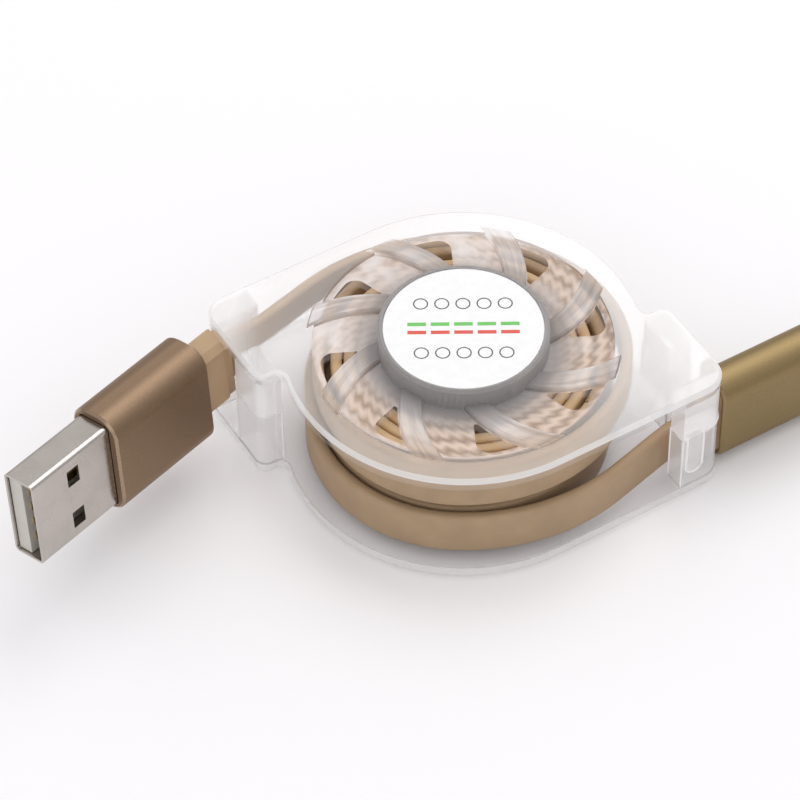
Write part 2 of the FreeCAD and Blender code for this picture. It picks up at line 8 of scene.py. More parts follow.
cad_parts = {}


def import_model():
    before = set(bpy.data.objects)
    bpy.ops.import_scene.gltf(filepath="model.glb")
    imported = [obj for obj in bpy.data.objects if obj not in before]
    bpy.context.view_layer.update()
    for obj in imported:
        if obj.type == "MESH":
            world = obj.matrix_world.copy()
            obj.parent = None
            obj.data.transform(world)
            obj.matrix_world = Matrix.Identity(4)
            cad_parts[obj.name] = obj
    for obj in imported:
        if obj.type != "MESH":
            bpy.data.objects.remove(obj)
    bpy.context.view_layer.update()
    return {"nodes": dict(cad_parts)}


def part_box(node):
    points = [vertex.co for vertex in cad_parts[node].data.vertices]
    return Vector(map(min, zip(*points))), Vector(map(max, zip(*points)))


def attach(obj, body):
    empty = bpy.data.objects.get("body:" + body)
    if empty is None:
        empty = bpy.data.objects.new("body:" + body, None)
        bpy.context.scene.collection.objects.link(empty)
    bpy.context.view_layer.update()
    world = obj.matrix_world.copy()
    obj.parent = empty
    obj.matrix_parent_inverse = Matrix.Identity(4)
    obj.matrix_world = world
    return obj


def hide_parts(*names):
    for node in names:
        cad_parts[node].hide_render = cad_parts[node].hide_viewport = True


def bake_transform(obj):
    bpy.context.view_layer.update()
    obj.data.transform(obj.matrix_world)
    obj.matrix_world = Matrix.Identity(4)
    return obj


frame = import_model()
nodes = frame["nodes"]

# Lengths in millimetres and turns in degrees, unless a line turns them into radians
MM = 0.001
microns_per_mm = 1000
tolerance = 0.01
wide_tolerance = 0.05
level_limit = 0.97
upright_limit = 0.9
part_smooth = 28.0
square = ((-1, -1), (1, -1), (1, 1), (-1, 1))

# Ribbon
ribbon_thickness = 1.36
ribbon_gap = 0.2
ribbon_edge_radius = 0.52
ribbon_wobble = 0.09
wave_stretch = 9.0
ripple_stretch = 4.3
ripple_share = 0.6
coil_phase = 0.7
run_phase = 2.1
coil_turns = 3
coil_start_angle = 100.0
seat_gap = 0.1
running_gap = 0.3
lead_turn = 20.0
lead_cut = 0.7
lead_rise = 0.3
run_start_angle = -55.0
loose_start_angle = 235.0
tight_turn = ((run_start_angle, 17.15), (loose_start_angle, 18.6))
slack_turn = ((run_start_angle, 17.15), (59.0, 17.95), (155.0, 19.4), (loose_start_angle, 18.3))
exit_angle = 14.0
exit_bend_radius = 10.0
exit_offset = 16.9
run_setback = 4.35
station_step = 0.45
corner_points = 5
tail_stations = 24
ribbon_smooth = 50.0

# Plugs
usb_a_turn = (198.8, -3.8, 7.0)
bevel_slopes = (0.3, 0.97)
tongue_reach = 1.2
tongue_sink = 0.4
tongue_share = 0.93
tongue_gap = 0.15
slot_side = 18.8

# Case
plate_thickness = 1.7
panel_depth = 0.5
boss_margin = 0.7
boss_overrun = 0.02
rim_band = 3.6
arm_overrun = 0.85
edge_clear_height = 0.9
edge_clear_fade = 0.1
post_top_height = 10.0
glint_radius = 0.12
glint_sides = 6
glint_angle = math.radians(60)
glint_smooth = 60.0

# Looks of the case
panel_ribs = 58
panel_haze = 0.78
panel_rib_sweep = math.radians(3.0) / MM
panel_step = 0.28
panel_stretch = 1.16
panel_wander = 0.9
panel_tint = (0.98, 0.95, 0.93)
panel_shadow_tint = (0.98, 0.975, 0.97)
# Colours of the bands painted on the panel, from the gap between turns, darkest as painted shade, to the
# middle of a turn
panel_bands_and_gap_shade = ((0.0, (0.34, 0.24, 0.175)), (0.2, (0.50, 0.375, 0.295)),
                (0.36, (0.68, 0.53, 0.435)), (0.5, (0.74, 0.595, 0.50)))
# Whiter frost patches, more of them towards one side: a painted reflection on that side
sheen_side = math.radians(105)
sheen_lean = 0.2
frost_and_sheen_white = (0.88, 0.825, 0.81)
# Grey at the boss, fading out over this reach: partly the hub's grey, partly painted shade
boss_shade_reach = 5.2
hub_and_shade_grey = (0.33, 0.31, 0.31)
reel_top_grey = (0.36, 0.35, 0.35)
# Dark brown of the reel's rim and divider: the ribbon's brown with painted shade
ribbon_brown_shade = (0.30, 0.19, 0.10)
reel_rim = (0.8, 0.5)
# Lighter and darker streaks along the arms: painted reflection
streak_density = 22.0
streak_length = 6.0
reflection_streak_dark = (0.68, 0.62, 0.60)
reflection_streak_light = (0.97, 0.93, 0.92)
arm_fade = (15.0, 18.6)
rim_fade = (24.0, 28.0)
rim_cloud_side = math.radians(5)
rim_cloud = 0.4
clear_tint = (0.992, 0.99, 0.99)
shadow_tint = (0.994, 0.992, 0.992)

# Label's print
label_turn = -31.0
print_lift = 0.01
dash_count = 5
dash_pitch = 2.75
dash_length = 2.2
dash_height = 0.55
dash_row = 0.65
ring_count = 5
ring_pitch = 2.5
ring_radius = 0.9
ring_stroke = 0.16
ring_sides = 32
ring_row = 3.9

# Stage, in metres
floor_reach = 3.0
floor_drop = 0.00005

# Sizes read from the frame, and what follows from them
lower_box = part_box("cable_lower_coil")
upper_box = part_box("cable_upper_coil")
case_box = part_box("top_cover")
label_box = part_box("label_disc")
hub_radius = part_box("spring_cover")[1].x / MM
lower_z = lower_box[0].z / MM
upper_z = upper_box[0].z / MM
ribbon_width = (lower_box[1].z - lower_box[0].z) / MM
ear_reach = case_box[1].x / MM
case_radius = case_box[1].y / MM
case_height = upper_box[1].z / MM + running_gap + plate_thickness
cover_under = case_height - plate_thickness
panel_z = case_height - panel_depth
boss_radius = hub_radius - boss_margin
panel_radius = case_radius - rim_band
ribbon_pitch = ribbon_thickness + ribbon_gap
coil_start_radius = hub_radius + seat_gap + ribbon_thickness / 2
coil_end_radius = coil_start_radius + coil_turns * ribbon_pitch


# Material helpers

def new_shader(name, colour, roughness, **sockets):
    """Principled material with plain values on its sockets."""
    material = bpy.data.materials.new(name)
    material.use_nodes = True
    shader = material.node_tree.nodes["Principled BSDF"]
    shader.inputs["Base Color"].default_value = (*colour, 1)
    shader.inputs["Roughness"].default_value = roughness
    for socket, value in sockets.items():
        shader.inputs[socket.replace("_", " ")].default_value = value
    return material, material.node_tree, shader


def add_node(tree, kind, **values):
    """New node with plain values on its sockets, or on its settings where no socket has that name."""
    node = tree.nodes.new(kind)
    for name, value in values.items():
        socket = node.inputs.get(name.replace("_", " "))
        if socket is not None:
            socket.default_value = value
        else:
            setattr(node, name, value)
    return node


def feed(tree, socket, value):
    """Puts a number, a colour or another node's output on a socket."""
    if isinstance(value, tuple):
        socket.default_value = (*value, 1)
    elif isinstance(value, float):
        socket.default_value = value
    else:
        tree.links.new(value, socket)


def noise(tree, scale, detail=3.0):
    """Noise over the piece's own coordinates, in metres."""
    place = add_node(tree, "ShaderNodeTexCoord")
    texture = add_node(tree, "ShaderNodeTexNoise", Scale=scale, Detail=detail)
    tree.links.new(place.outputs["Object"], texture.inputs["Vector"])
    return texture.outputs["Fac"]


def reckon(tree, operation, *values):
    """Output of a maths node, from numbers or other outputs."""
    node = add_node(tree, "ShaderNodeMath", operation=operation)
    for socket, value in zip(node.inputs, values):
        feed(tree, socket, value)
    return node.outputs["Value"]


def axes(tree):
    """The piece's own X, Y and Z, in metres."""
    place = add_node(tree, "ShaderNodeTexCoord")
    split = add_node(tree, "ShaderNodeSeparateXYZ")
    tree.links.new(place.outputs["Object"], split.inputs["Vector"])
    return split.outputs


def polar_place(tree):
    """Distance from the reel's axis in metres and angle about it in radians."""
    own = axes(tree)
    flat = add_node(tree, "ShaderNodeCombineXYZ")
    radius = add_node(tree, "ShaderNodeVectorMath", operation="LENGTH")
    tree.links.new(own["X"], flat.inputs["X"])
    tree.links.new(own["Y"], flat.inputs["Y"])
    tree.links.new(flat.outputs["Vector"], radius.inputs[0])
    return radius.outputs["Value"], reckon(tree, "ARCTAN2", own["Y"], own["X"])


def ranged(tree, value, start=0.0, stop=1.0, low=0.0, high=1.0, kind="LINEAR"):
    """Value between start and stop, carried over to low and high."""
    span = add_node(tree, "ShaderNodeMapRange", interpolation_type=kind,
                    From_Min=start, From_Max=stop, To_Min=low, To_Max=high)
    tree.links.new(value, span.inputs["Value"])
    return span.outputs["Result"]


def towards(tree, angle, side):
    """One at a side of the case, minus one at the opposite side."""
    return reckon(tree, "COSINE", reckon(tree, "MULTIPLY_ADD", angle, 1.0, -side))


def swept(tree, radius, angle):
    """Angle that stays the same all along a swept line of the cover."""
    return reckon(tree, "MULTIPLY_ADD", radius, -panel_rib_sweep, angle)


def colour_ramp(tree, factor, shades):
    """Colours through pairs of position and colour."""
    ramp = add_node(tree, "ShaderNodeValToRGB")
    elements = ramp.color_ramp.elements
    while len(elements) < len(shades):
        elements.new(0.5)
    for element, (position, colour) in zip(elements, shades):
        element.position = position
        element.color = (*colour, 1)
    tree.links.new(factor, ramp.inputs["Fac"])
    return ramp.outputs["Color"]


def mix_colours(tree, factor, first, second):
    """Mix of two colours or outputs."""
    mix = add_node(tree, "ShaderNodeMixRGB")
    feed(tree, mix.inputs["Fac"], factor)
    feed(tree, mix.inputs["Color1"], first)
    feed(tree, mix.inputs["Color2"], second)
    return mix.outputs["Color"]


def mix_surfaces(tree, factor, first, second):
    """Mix of two surfaces."""
    mix = add_node(tree, "ShaderNodeMixShader")
    feed(tree, mix.inputs["Fac"], factor)
    tree.links.new(first, mix.inputs[1])
    tree.links.new(second, mix.inputs[2])
    return mix.outputs["Shader"]


def shade(colour, factor):
    """Colour made darker or lighter."""
    return tuple(channel * factor for channel in colour)


def vary_colour(tree, shader, factor, colour, dark, light):
    """Mottling between a darker and a lighter shade of the colour."""
    shades = ((0.3, shade(colour, dark)), (0.7, shade(colour, light)))
    tree.links.new(colour_ramp(tree, factor, shades), shader.inputs["Base Color"])


def vary_roughness(tree, shader, factor, low, high):
    """Roughness between two values."""
    tree.links.new(ranged(tree, factor, low=low, high=high), shader.inputs["Roughness"])


def add_bump(tree, shader, height, strength, distance):
    """Relief from a height, over a distance in metres."""
    bump = add_node(tree, "ShaderNodeBump", Strength=strength, Distance=distance)
    tree.links.new(height, bump.inputs["Height"])
    tree.links.new(bump.outputs["Normal"], shader.inputs["Normal"])


def let_light_in(tree, surface, tint=shadow_tint):
    """Shadow rays pass the clear plastic, so that what it covers is lit."""
    path = add_node(tree, "ShaderNodeLightPath")
    passing = add_node(tree, "ShaderNodeBsdfTransparent", Color=(*tint, 1))
    mix = mix_surfaces(tree, path.outputs["Is Shadow Ray"], surface, passing.outputs["BSDF"])
    tree.links.new(mix, tree.nodes["Material Output"].inputs["Surface"])


# Materials

def see_through(name, haze, roughness, glance=0.5, colour=(0.95, 0.942, 0.945), clear_below=None):
    """Clear plastic that doesn't bend the view, with a haze that grows at a glancing angle.

    Below a height in millimetres, where one is given, there is no haze.
    """
    material, tree, shader = new_shader(name, colour, roughness, IOR=1.49)
    vary_roughness(tree, shader, noise(tree, scale=900.0), roughness - 0.04, roughness + 0.05)
    add_bump(tree, shader, noise(tree, scale=420.0), strength=0.1, distance=0.0003)
    facing = add_node(tree, "ShaderNodeLayerWeight", Blend=0.25)
    cover = ranged(tree, facing.outputs["Facing"], low=haze, high=min(1.0, haze + glance))
    if clear_below is not None:
        hazy = ranged(tree, axes(tree)["Z"], clear_below * MM, (clear_below + edge_clear_fade) * MM)
        cover = reckon(tree, "MULTIPLY", hazy, cover)
    passing = add_node(tree, "ShaderNodeBsdfTransparent", Color=(*clear_tint, 1))
    let_light_in(tree, mix_surfaces(tree, cover, passing.outputs["BSDF"], shader.outputs["BSDF"]))
    return material


def milky(name, clearness, roughness, grain, tint=(0.975, 0.967, 0.968)):
    """Moulded plastic that blurs what lies under it."""
    material, tree, shader = new_shader(name, tint, roughness, IOR=1.3, Transmission_Weight=clearness)
    vary_roughness(tree, shader, noise(tree, scale=1500.0), roughness - 0.04, roughness + 0.05)
    add_bump(tree, shader, noise(tree, scale=2600.0, detail=2.0), strength=grain, distance=0.0001)
    let_light_in(tree, shader.outputs["BSDF"])
    return material, tree, shader


def fading(tree, radius, span, near, far):
    """Clearness that changes from near to far over a span of radii, in millimetres."""
    return ranged(tree, radius, span[0] * MM, span[1] * MM, near, far)


def rim_plastic():
    """Milky rim, clearer inwards and clouded towards one side."""
    material, tree, shader = milky("rim_plastic", clearness=0.7, roughness=0.2, grain=0.1)
    radius, angle = polar_place(tree)
    clearness = fading(tree, radius, rim_fade, near=0.86, far=0.5)
    side = towards(tree, angle, rim_cloud_side)
    kept = ranged(tree, side, low=1.0, high=1.0 - rim_cloud, kind="SMOOTHSTEP")
    tree.links.new(reckon(tree, "MULTIPLY", clearness, kept), shader.inputs["Transmission Weight"])
    return material


def grey_and_shade_near_boss(tree, shader, radius, colour):
    """Grey next to the boss, fading out over a reach that runs on over the ribbon: partly the grey hub
    showing through, partly painted shade.
    """
    near = ranged(tree, radius, boss_radius * MM, (boss_radius + boss_shade_reach) * MM, kind="SMOOTHSTEP")
    tree.links.new(mix_colours(tree, near, hub_and_shade_grey, colour), shader.inputs["Base Color"])


def frost_and_painted_sheen(tree, angle, colour):
    """Whiter patches of frost, more of them on one side of the cover as a painted reflection."""
    side = towards(tree, angle, sheen_side)
    patches = reckon(tree, "MULTIPLY_ADD", side, sheen_lean, noise(tree, scale=330.0, detail=4.0))
    return mix_colours(tree, ranged(tree, patches, start=0.42, stop=0.78, high=0.88), colour, frost_and_sheen_white)


def panel_plastic():
    """Frosted skin: the turns below are painted on as soft bands, with painted shade in the gaps between
    them, whose edges the swept ribs set off in steps.
    """
    material, tree, shader = new_shader("panel_plastic", (0.7, 0.5, 0.4), roughness=0.3)
    vary_roughness(tree, shader, noise(tree, scale=1500.0), low=0.24, high=0.36)
    radius, angle = polar_place(tree)
    ribs = reckon(tree, "MULTIPLY_ADD", swept(tree, radius, angle), panel_ribs / math.pi, 0.0)
    wave = reckon(tree, "PINGPONG", ribs, 1.0)
    first_gap = -coil_start_radius / ribbon_pitch + math.radians(coil_start_angle + 180) / math.tau
    turn = reckon(tree, "MULTIPLY_ADD", angle, -1 / math.tau, first_gap)
    turn = reckon(tree, "MULTIPLY_ADD", radius, 1 / (panel_stretch * ribbon_pitch * MM), turn)
    turn = reckon(tree, "MULTIPLY_ADD", wave, panel_step, turn)
    turn = reckon(tree, "MULTIPLY_ADD", noise(tree, scale=300.0), panel_wander, turn)
    across = reckon(tree, "PINGPONG", reckon(tree, "MULTIPLY_ADD", turn, 1.0, 0.5), 0.5)
    bands = colour_ramp(tree, across, panel_bands_and_gap_shade)
    grey_and_shade_near_boss(tree, shader, radius, frost_and_painted_sheen(tree, angle, bands))
    add_bump(tree, shader, wave, strength=0.5, distance=0.00006)
    below = add_node(tree, "ShaderNodeBsdfRefraction", Color=(*panel_tint, 1), Roughness=0.12, IOR=1.1)
    mix = mix_surfaces(tree, panel_haze, below.outputs["BSDF"], shader.outputs["BSDF"])
    let_light_in(tree, mix, panel_shadow_tint)
    return material


def arm_plastic():
    """Milky swept arms with painted reflections as streaks along them, and grey next to the boss that is
    partly painted shade.
    """
    material, tree, shader = milky("arm_plastic", clearness=0.5, roughness=0.4, grain=0.08)
    radius, angle = polar_place(tree)
    place = add_node(tree, "ShaderNodeCombineXYZ")
    streak = add_node(tree, "ShaderNodeTexNoise", Scale=1.0, Detail=3.0)
    across = reckon(tree, "MULTIPLY_ADD", swept(tree, radius, angle), streak_density, 0.0)
    along = reckon(tree, "MULTIPLY_ADD", radius, 1 / (streak_length * MM), 0.0)
    tree.links.new(across, place.inputs["X"])
    tree.links.new(along, place.inputs["Y"])
    tree.links.new(place.outputs["Vector"], streak.inputs["Vector"])
    amount = ranged(tree, streak.outputs["Fac"], start=0.33, stop=0.58)
    grey_and_shade_near_boss(tree, shader, radius, mix_colours(tree, amount, reflection_streak_dark, reflection_streak_light))
    clearness = fading(tree, radius, arm_fade, near=0.46, far=0.82)
    tree.links.new(clearness, shader.inputs["Transmission Weight"])
    return material


def reel_plastic():
    """Grey hub with a dark brown at its rim and on the divider: the wound ribbon's brown, darkened as
    painted shade.
    """
    material, tree, shader = new_shader("reel_plastic", hub_and_shade_grey, roughness=0.42)
    start, stop = ((hub_radius - inset) * MM for inset in reel_rim)
    outward = ranged(tree, polar_place(tree)[0], start, stop)
    colour = mix_colours(tree, outward, reel_top_grey, ribbon_brown_shade)
    tree.links.new(colour, shader.inputs["Base Color"])
    vary_roughness(tree, shader, noise(tree, scale=2400.0), low=0.36, high=0.48)
    add_bump(tree, shader, noise(tree, scale=4200.0), strength=0.05, distance=0.00005)
    return material


def rubber(name, colour):
    """Soft matte plastic with a fine grain."""
    material, tree, shader = new_shader(name, colour, roughness=0.5, Specular_IOR_Level=0.35)
    vary_colour(tree, shader, noise(tree, scale=260.0), colour, dark=0.93, light=1.06)
    vary_roughness(tree, shader, noise(tree, scale=1800.0), low=0.42, high=0.56)
    add_bump(tree, shader, noise(tree, scale=9000.0, detail=2.0), strength=0.1, distance=0.00005)
    return material


def anodised(name, colour, roughness):
    """Bead-blasted anodised aluminium: fine sparkle in its grain."""
    material, tree, shader = new_shader(name, colour, roughness, Metallic=1.0)
    vary_colour(tree, shader, noise(tree, scale=5200.0, detail=2.0), colour, dark=0.94, light=1.06)
    vary_roughness(tree, shader, noise(tree, scale=4200.0), roughness - 0.05, roughness + 0.05)
    add_bump(tree, shader, noise(tree, scale=7500.0, detail=2.0), strength=0.16, distance=0.00004)
    return material


def plated(name, colour, roughness):
    """Smooth plated metal with faint mottling."""
    material, tree, shader = new_shader(name, colour, roughness, Metallic=1.0)
    vary_colour(tree, shader, noise(tree, scale=300.0), colour, dark=0.95, light=1.04)
    vary_roughness(tree, shader, noise(tree, scale=900.0), roughness - 0.04, roughness + 0.06)
    add_bump(tree, shader, noise(tree, scale=1200.0, detail=2.0), strength=0.03, distance=0.00003)
    return material


def satin(name, colour, roughness):
    """Plain moulded plastic or paper with faint mottling."""
    material, tree, shader = new_shader(name, colour, roughness)
    vary_colour(tree, shader, noise(tree, scale=800.0), colour, dark=0.97, light=1.02)
    vary_roughness(tree, shader, noise(tree, scale=2400.0), roughness - 0.06, roughness + 0.06)
    add_bump(tree, shader, noise(tree, scale=4200.0), strength=0.05, distance=0.00005)
    return material


clear = see_through("clear_plastic", haze=0.03, roughness=0.08, glance=0.25)
bare = see_through("window_plastic", haze=0.0, roughness=0.08, glance=0.05)
rim = rim_plastic()
panel = panel_plastic()
arm = arm_plastic()
# The boss's dark grey tint is painted shade
boss = milky("boss_shaded_plastic", clearness=0.7, roughness=0.42, grain=0.03, tint=(0.67, 0.655, 0.657))[0]
# Haze of the plate edges: partly the plastic's own, partly painted light for the bright band along them
edge = see_through("edge_plastic", haze=0.32, roughness=0.14)
cover_edge = see_through("cover_edge_plastic", haze=0.6, roughness=0.14,
                         clear_below=cover_under + edge_clear_height)
post = see_through("post_plastic", haze=0.2, roughness=0.1)
post_top = see_through("post_top_plastic", haze=0.42, roughness=0.12)
# Painted highlights for the covers' edges, dimmer and grey round the base plate
glint = see_through("edge_glint", haze=0.85, roughness=0.12)
base_glint = see_through("base_glint", haze=0.3, roughness=0.12, glance=0.3, colour=(0.68, 0.665, 0.665))
# Brownish haze on the wall of the panel's step: painted shade along it
groove_shade = see_through("groove_shade_plastic", haze=0.5, roughness=0.2, glance=0.3, colour=(0.50, 0.40, 0.34))
# One ribbon in two copies, painted light and shade: the runs get the darker, shaded copy and the coils,
# whose tops are lit, the lighter copy
tan = rubber("shaded_run_rubber", (0.405, 0.28, 0.168))
lit_coil_tan = rubber("lit_coil_rubber", (0.60, 0.415, 0.235))
relief_tan = rubber("relief_rubber", (0.48, 0.33, 0.20))
bronze = anodised("bronze_anodised", (0.285, 0.195, 0.127), roughness=0.5)
olive = anodised("olive_anodised", (0.30, 0.22, 0.108), roughness=0.5)
# The end bevels are a lighter copy of the sleeve's metal: a painted highlight
bronze_highlight_bevel = anodised("bronze_bevel_highlight", (0.36, 0.26, 0.18), roughness=0.28)
olive_highlight_bevel = anodised("olive_bevel_highlight", (0.32, 0.235, 0.115), roughness=0.36)
steel = plated("nickel_steel", (0.52, 0.48, 0.447), roughness=0.25)
spring_steel = plated("spring_steel", (0.50, 0.50, 0.51), roughness=0.3)
reel_grey = reel_plastic()
paper = satin("label_paper", (0.90, 0.895, 0.90), roughness=0.5)
tongue_white = satin("tongue_plastic", (0.60, 0.57, 0.52), roughness=0.45)
inner_brown = satin("inner_plastic", (0.13, 0.095, 0.065), roughness=0.5)
insert_black = satin("insert_plastic", (0.02, 0.02, 0.02), roughness=0.45)
contact_gold = plated("contact_gold", (0.83, 0.62, 0.28), roughness=0.25)
print_green = satin("print_green", (0.16, 0.55, 0.12), roughness=0.5)
print_red = satin("print_red", (0.72, 0.09, 0.06), roughness=0.5)
print_grey = satin("print_grey", (0.09, 0.09, 0.095), roughness=0.5)


# Mesh helpers

def smooth(mesh, degrees=part_smooth):
    """Smooth shading, except across edges sharper than an angle."""
    mesh.shade_smooth()
    mesh.set_sharp_from_angle(angle=math.radians(degrees))


def new_piece(name, points, faces, *materials):
    """Mesh in the scene, from points in metres."""
    mesh = bpy.data.meshes.new(name)
    mesh.from_pydata([tuple(point) for point in points], [], faces)
    mesh.update()
    for material in materials:
        mesh.materials.append(material)
    piece = bpy.data.objects.new(name, mesh)
    bpy.context.scene.collection.objects.link(piece)
    return piece


# Case and plugs

def dress(node, *materials):
    """Gives a CAD node its materials and smooth shading across gentle edges."""
    mesh = nodes[node].data
    mesh.materials.clear()
    for material in materials:
        mesh.materials.append(material)
    smooth(mesh)
    return mesh


def cover_material(place, normal):
    """Material of a cover's face, from the place of its middle in millimetres."""
    radius = math.hypot(place.x, place.y)
    level = abs(normal.z) > level_limit
    if plate_thickness + tolerance < place.z < cover_under - tolerance:
        if radius < hub_radius:
            return clear
        return post_top if place.z > post_top_height else post
    if place.z > panel_z - tolerance and radius < boss_radius + boss_overrun:
        return boss
    if place.z > panel_z - tolerance and radius < panel_radius + arm_overrun:
        if place.z > case_height + tolerance:
            return arm
        if place.z < panel_z + tolerance:
            return panel if level else clear
        if not level:
            return arm if radius < panel_radius - wide_tolerance else groove_shade
    if level:
        return rim if place.z > case_height - tolerance else clear
    if radius < panel_radius:
        return bare
    return cover_edge if place.z > case_height / 2 else edge


def dress_cover(node):
    """Clear moulding with a material for each kind of face."""
    materials = (clear, bare, rim, panel, arm, edge, post, post_top, boss, cover_edge, groove_shade)
    for face in dress(node, *materials).polygons:
        face.material_index = materials.index(cover_material(face.center / MM, face.normal))


def dress_sleeve(node, material, bevel, axis):
    """Satin sleeve with its end bevels lighter and smoother, the lighter colour a painted highlight."""
    for face in dress(node, material, bevel).polygons:
        if bevel_slopes[0] < abs(face.normal.dot(axis)) < bevel_slopes[1]:
            face.material_index = 1


usb_a_rotation = (Matrix.Rotation(math.radians(usb_a_turn[0]), 3, "Z")
                  @ Matrix.Rotation(math.radians(usb_a_turn[1]), 3, "Y")
                  @ Matrix.Rotation(math.radians(usb_a_turn[2]), 3, "X"))

dress_cover("top_cover")
dress_cover("bottom_cover")
dress_sleeve("usb_a_sleeve", bronze, bronze_highlight_bevel, usb_a_rotation @ Vector((1, 0, 0)))
dress_sleeve("usb_c_sleeve", olive, olive_highlight_bevel, Vector((1, 0, 0)))
for material, names in ((paper, ("label_disc",)),
                        (reel_grey, ("reel_spool", "spring_cover")),
                        (spring_steel, ("return_spring", "lock_ball")),
                        (relief_tan, ("usb_a_strain_relief", "usb_c_strain_relief")),
                        (bronze, ("usb_a_inner_mould",)),
                        (inner_brown, ("usb_c_inner_mould",)),
                        (steel, ("usb_a_shell", "usb_c_shell")),
                        (tongue_white, ("usb_a_tongue",)),
                        (insert_black, ("usb_c_insert",)),
                        (contact_gold, ("usb_a_contacts", "usb_c_contacts"))):
    for node in names:
        dress(node, material)


# Ribbon cable

def polar(radius, degrees):
    """Flat vector of a length in a direction."""
    angle = math.radians(degrees)
    return Vector((radius * math.cos(angle), radius * math.sin(angle)))


def lay_path(place, heading, steps):
    """Stations (place, heading) along steps of (length) or (bend radius, turn in degrees)."""
    stations = [(place, heading)]
    for step in steps:
        if len(step) == 1:
            count = max(1, round(step[0] / station_step))
            stations += [(place + polar(step[0] * i / count, heading), heading) for i in range(1, count + 1)]
        else:
            bend, turn = step
            side = math.copysign(90, turn)
            centre = place + polar(bend, heading + side)
            count = max(2, round(bend * math.radians(abs(turn)) / station_step))
            for i in range(1, count + 1):
                way = heading + turn * i / count
                stations.append((centre + polar(bend, way - side), way))
        place, heading = stations[-1]
    return stations


def ribbon_section():
    """Rounded section as (across, up) pairs about the ribbon's middle, in the order that faces outward."""
    half = ribbon_thickness / 2 - ribbon_edge_radius
    tall = ribbon_width / 2 - ribbon_edge_radius
    points = []
    for corner, (side, top) in enumerate(((1, 1), (-1, 1), (-1, -1), (1, -1))):
        for i in range(corner_points):
            bend = polar(ribbon_edge_radius, 90 * (corner + i / (corner_points - 1)))
            points.append((side * half + bend.x, top * tall + bend.y))
    return points[::-1]


def station_ring(place, heading, middle_z):
    """Section points of one station, in millimetres."""
    across = polar(1, heading - 90)
    ring = []
    for side, rise in ribbon_section():
        spot = place + across * side
        ring.append(Vector((spot.x, spot.y, middle_z + rise)))
    return ring


def skin(name, rings, material):
    """Closed mesh through equal rings of points, in millimetres."""
    size = len(rings[0])
    points = [point * MM for ring in rings for point in ring]
    faces = [tuple(range(size))[::-1], tuple(range(len(points) - size, len(points)))]
    for start in range(0, len(points) - size, size):
        for i in range(size):
            j = (i + 1) % size
            faces.append((start + i, start + j, start + size + j, start + size + i))
    piece = new_piece(name, points, faces, material)
    smooth(piece.data, ribbon_smooth)
    return piece


def wobble(distance, phase):
    """Slow rise and fall of a wound turn's edge."""
    wave = math.sin(distance / wave_stretch + phase)
    ripple = ripple_share * math.sin(distance / ripple_stretch + 2 * phase)
    return ribbon_wobble * (wave + ripple) / (1 + ripple_share)


def ribbon_rings(stations, bottom_z, phase):
    """Section rings along a path whose lower edge lies at a height."""
    rings = []
    distance = 0.0
    for index, (place, heading) in enumerate(stations):
        if index:
            distance += (place - stations[index - 1][0]).length
        rings.append(station_ring(place, heading, bottom_z + ribbon_width / 2 + wobble(distance, phase)))
    return rings


def turned(stations):
    """The same path turned half round the reel's axis."""
    return [(-place, heading + 180) for place, heading in stations]


def drift(first_angle, last_angle, first_radius, last_radius):
    """Stations on a turn about the reel's axis whose radius changes smoothly."""
    count = round(math.radians(last_angle - first_angle) * last_radius / station_step)
    spots = []
    for i in range(count + 1):
        share = i / count
        ease = share * share * (3 - 2 * share)
        spots.append(polar(first_radius + ease * (last_radius - first_radius),
                           first_angle + share * (last_angle - first_angle)))
    stations = []
    for i, spot in enumerate(spots):
        way = spots[min(i + 1, count)] - spots[max(i - 1, 0)]
        stations.append((spot, math.degrees(math.atan2(way.y, way.x))))
    return stations


def coil_path():
    """Turns on the hub, and the lead towards the outer turn."""
    steps = [(coil_start_radius + i * ribbon_pitch / 2, 180) for i in range(2 * coil_turns)]
    turns = lay_path(polar(coil_start_radius, coil_start_angle), coil_start_angle + 90, steps)
    lead_end = coil_start_angle + lead_turn
    return turns + drift(coil_start_angle, lead_end, coil_end_radius, coil_end_radius + lead_rise)[1:]


def run_path(knots):
    """Outer turn through knots of (angle, radius), loose loop, straight and the bend into the slot."""
    leave = polar(knots[-1][1], loose_start_angle)
    end = Vector((ear_reach - run_setback, -exit_offset))
    way = polar(1, exit_angle)
    bend_move = Vector((way.y, 1 - way.x)) * exit_bend_radius
    loop_move = polar(1, exit_angle - 90) - polar(1, loose_start_angle)
    to_go = end - bend_move - leave
    scale = loop_move.x * way.y - loop_move.y * way.x
    loose_radius = (to_go.x * way.y - to_go.y * way.x) / scale
    straight = (loop_move.x * to_go.y - loop_move.y * to_go.x) / scale
    loose_turn = 270 + exit_angle - loose_start_angle
    steps = [(loose_radius, loose_turn), (straight,), (exit_bend_radius, -exit_angle)]
    lead_angle = coil_start_angle + lead_turn + lead_cut
    stations = drift(lead_angle, run_start_angle + 360, coil_end_radius + lead_rise, knots[0][1])[:-1]
    for (first_angle, first_radius), (last_angle, last_radius) in zip(knots, knots[1:]):
        stations += drift(first_angle, last_angle, first_radius, last_radius)[:-1]
    return stations + lay_path(leave, loose_start_angle + 90, steps)


def neck_corners(node, to_case):
    """Corners of the face of a strain relief that looks at the case, in millimetres."""
    corners = [vertex.co / MM for vertex in nodes[node].data.vertices]
    reach = max(corner.dot(to_case) for corner in corners)
    return [corner for corner in corners if corner.dot(to_case) > reach - tolerance]


def middle_of(points):
    """Mean of some points."""
    return sum(points, Vector()) / len(points)


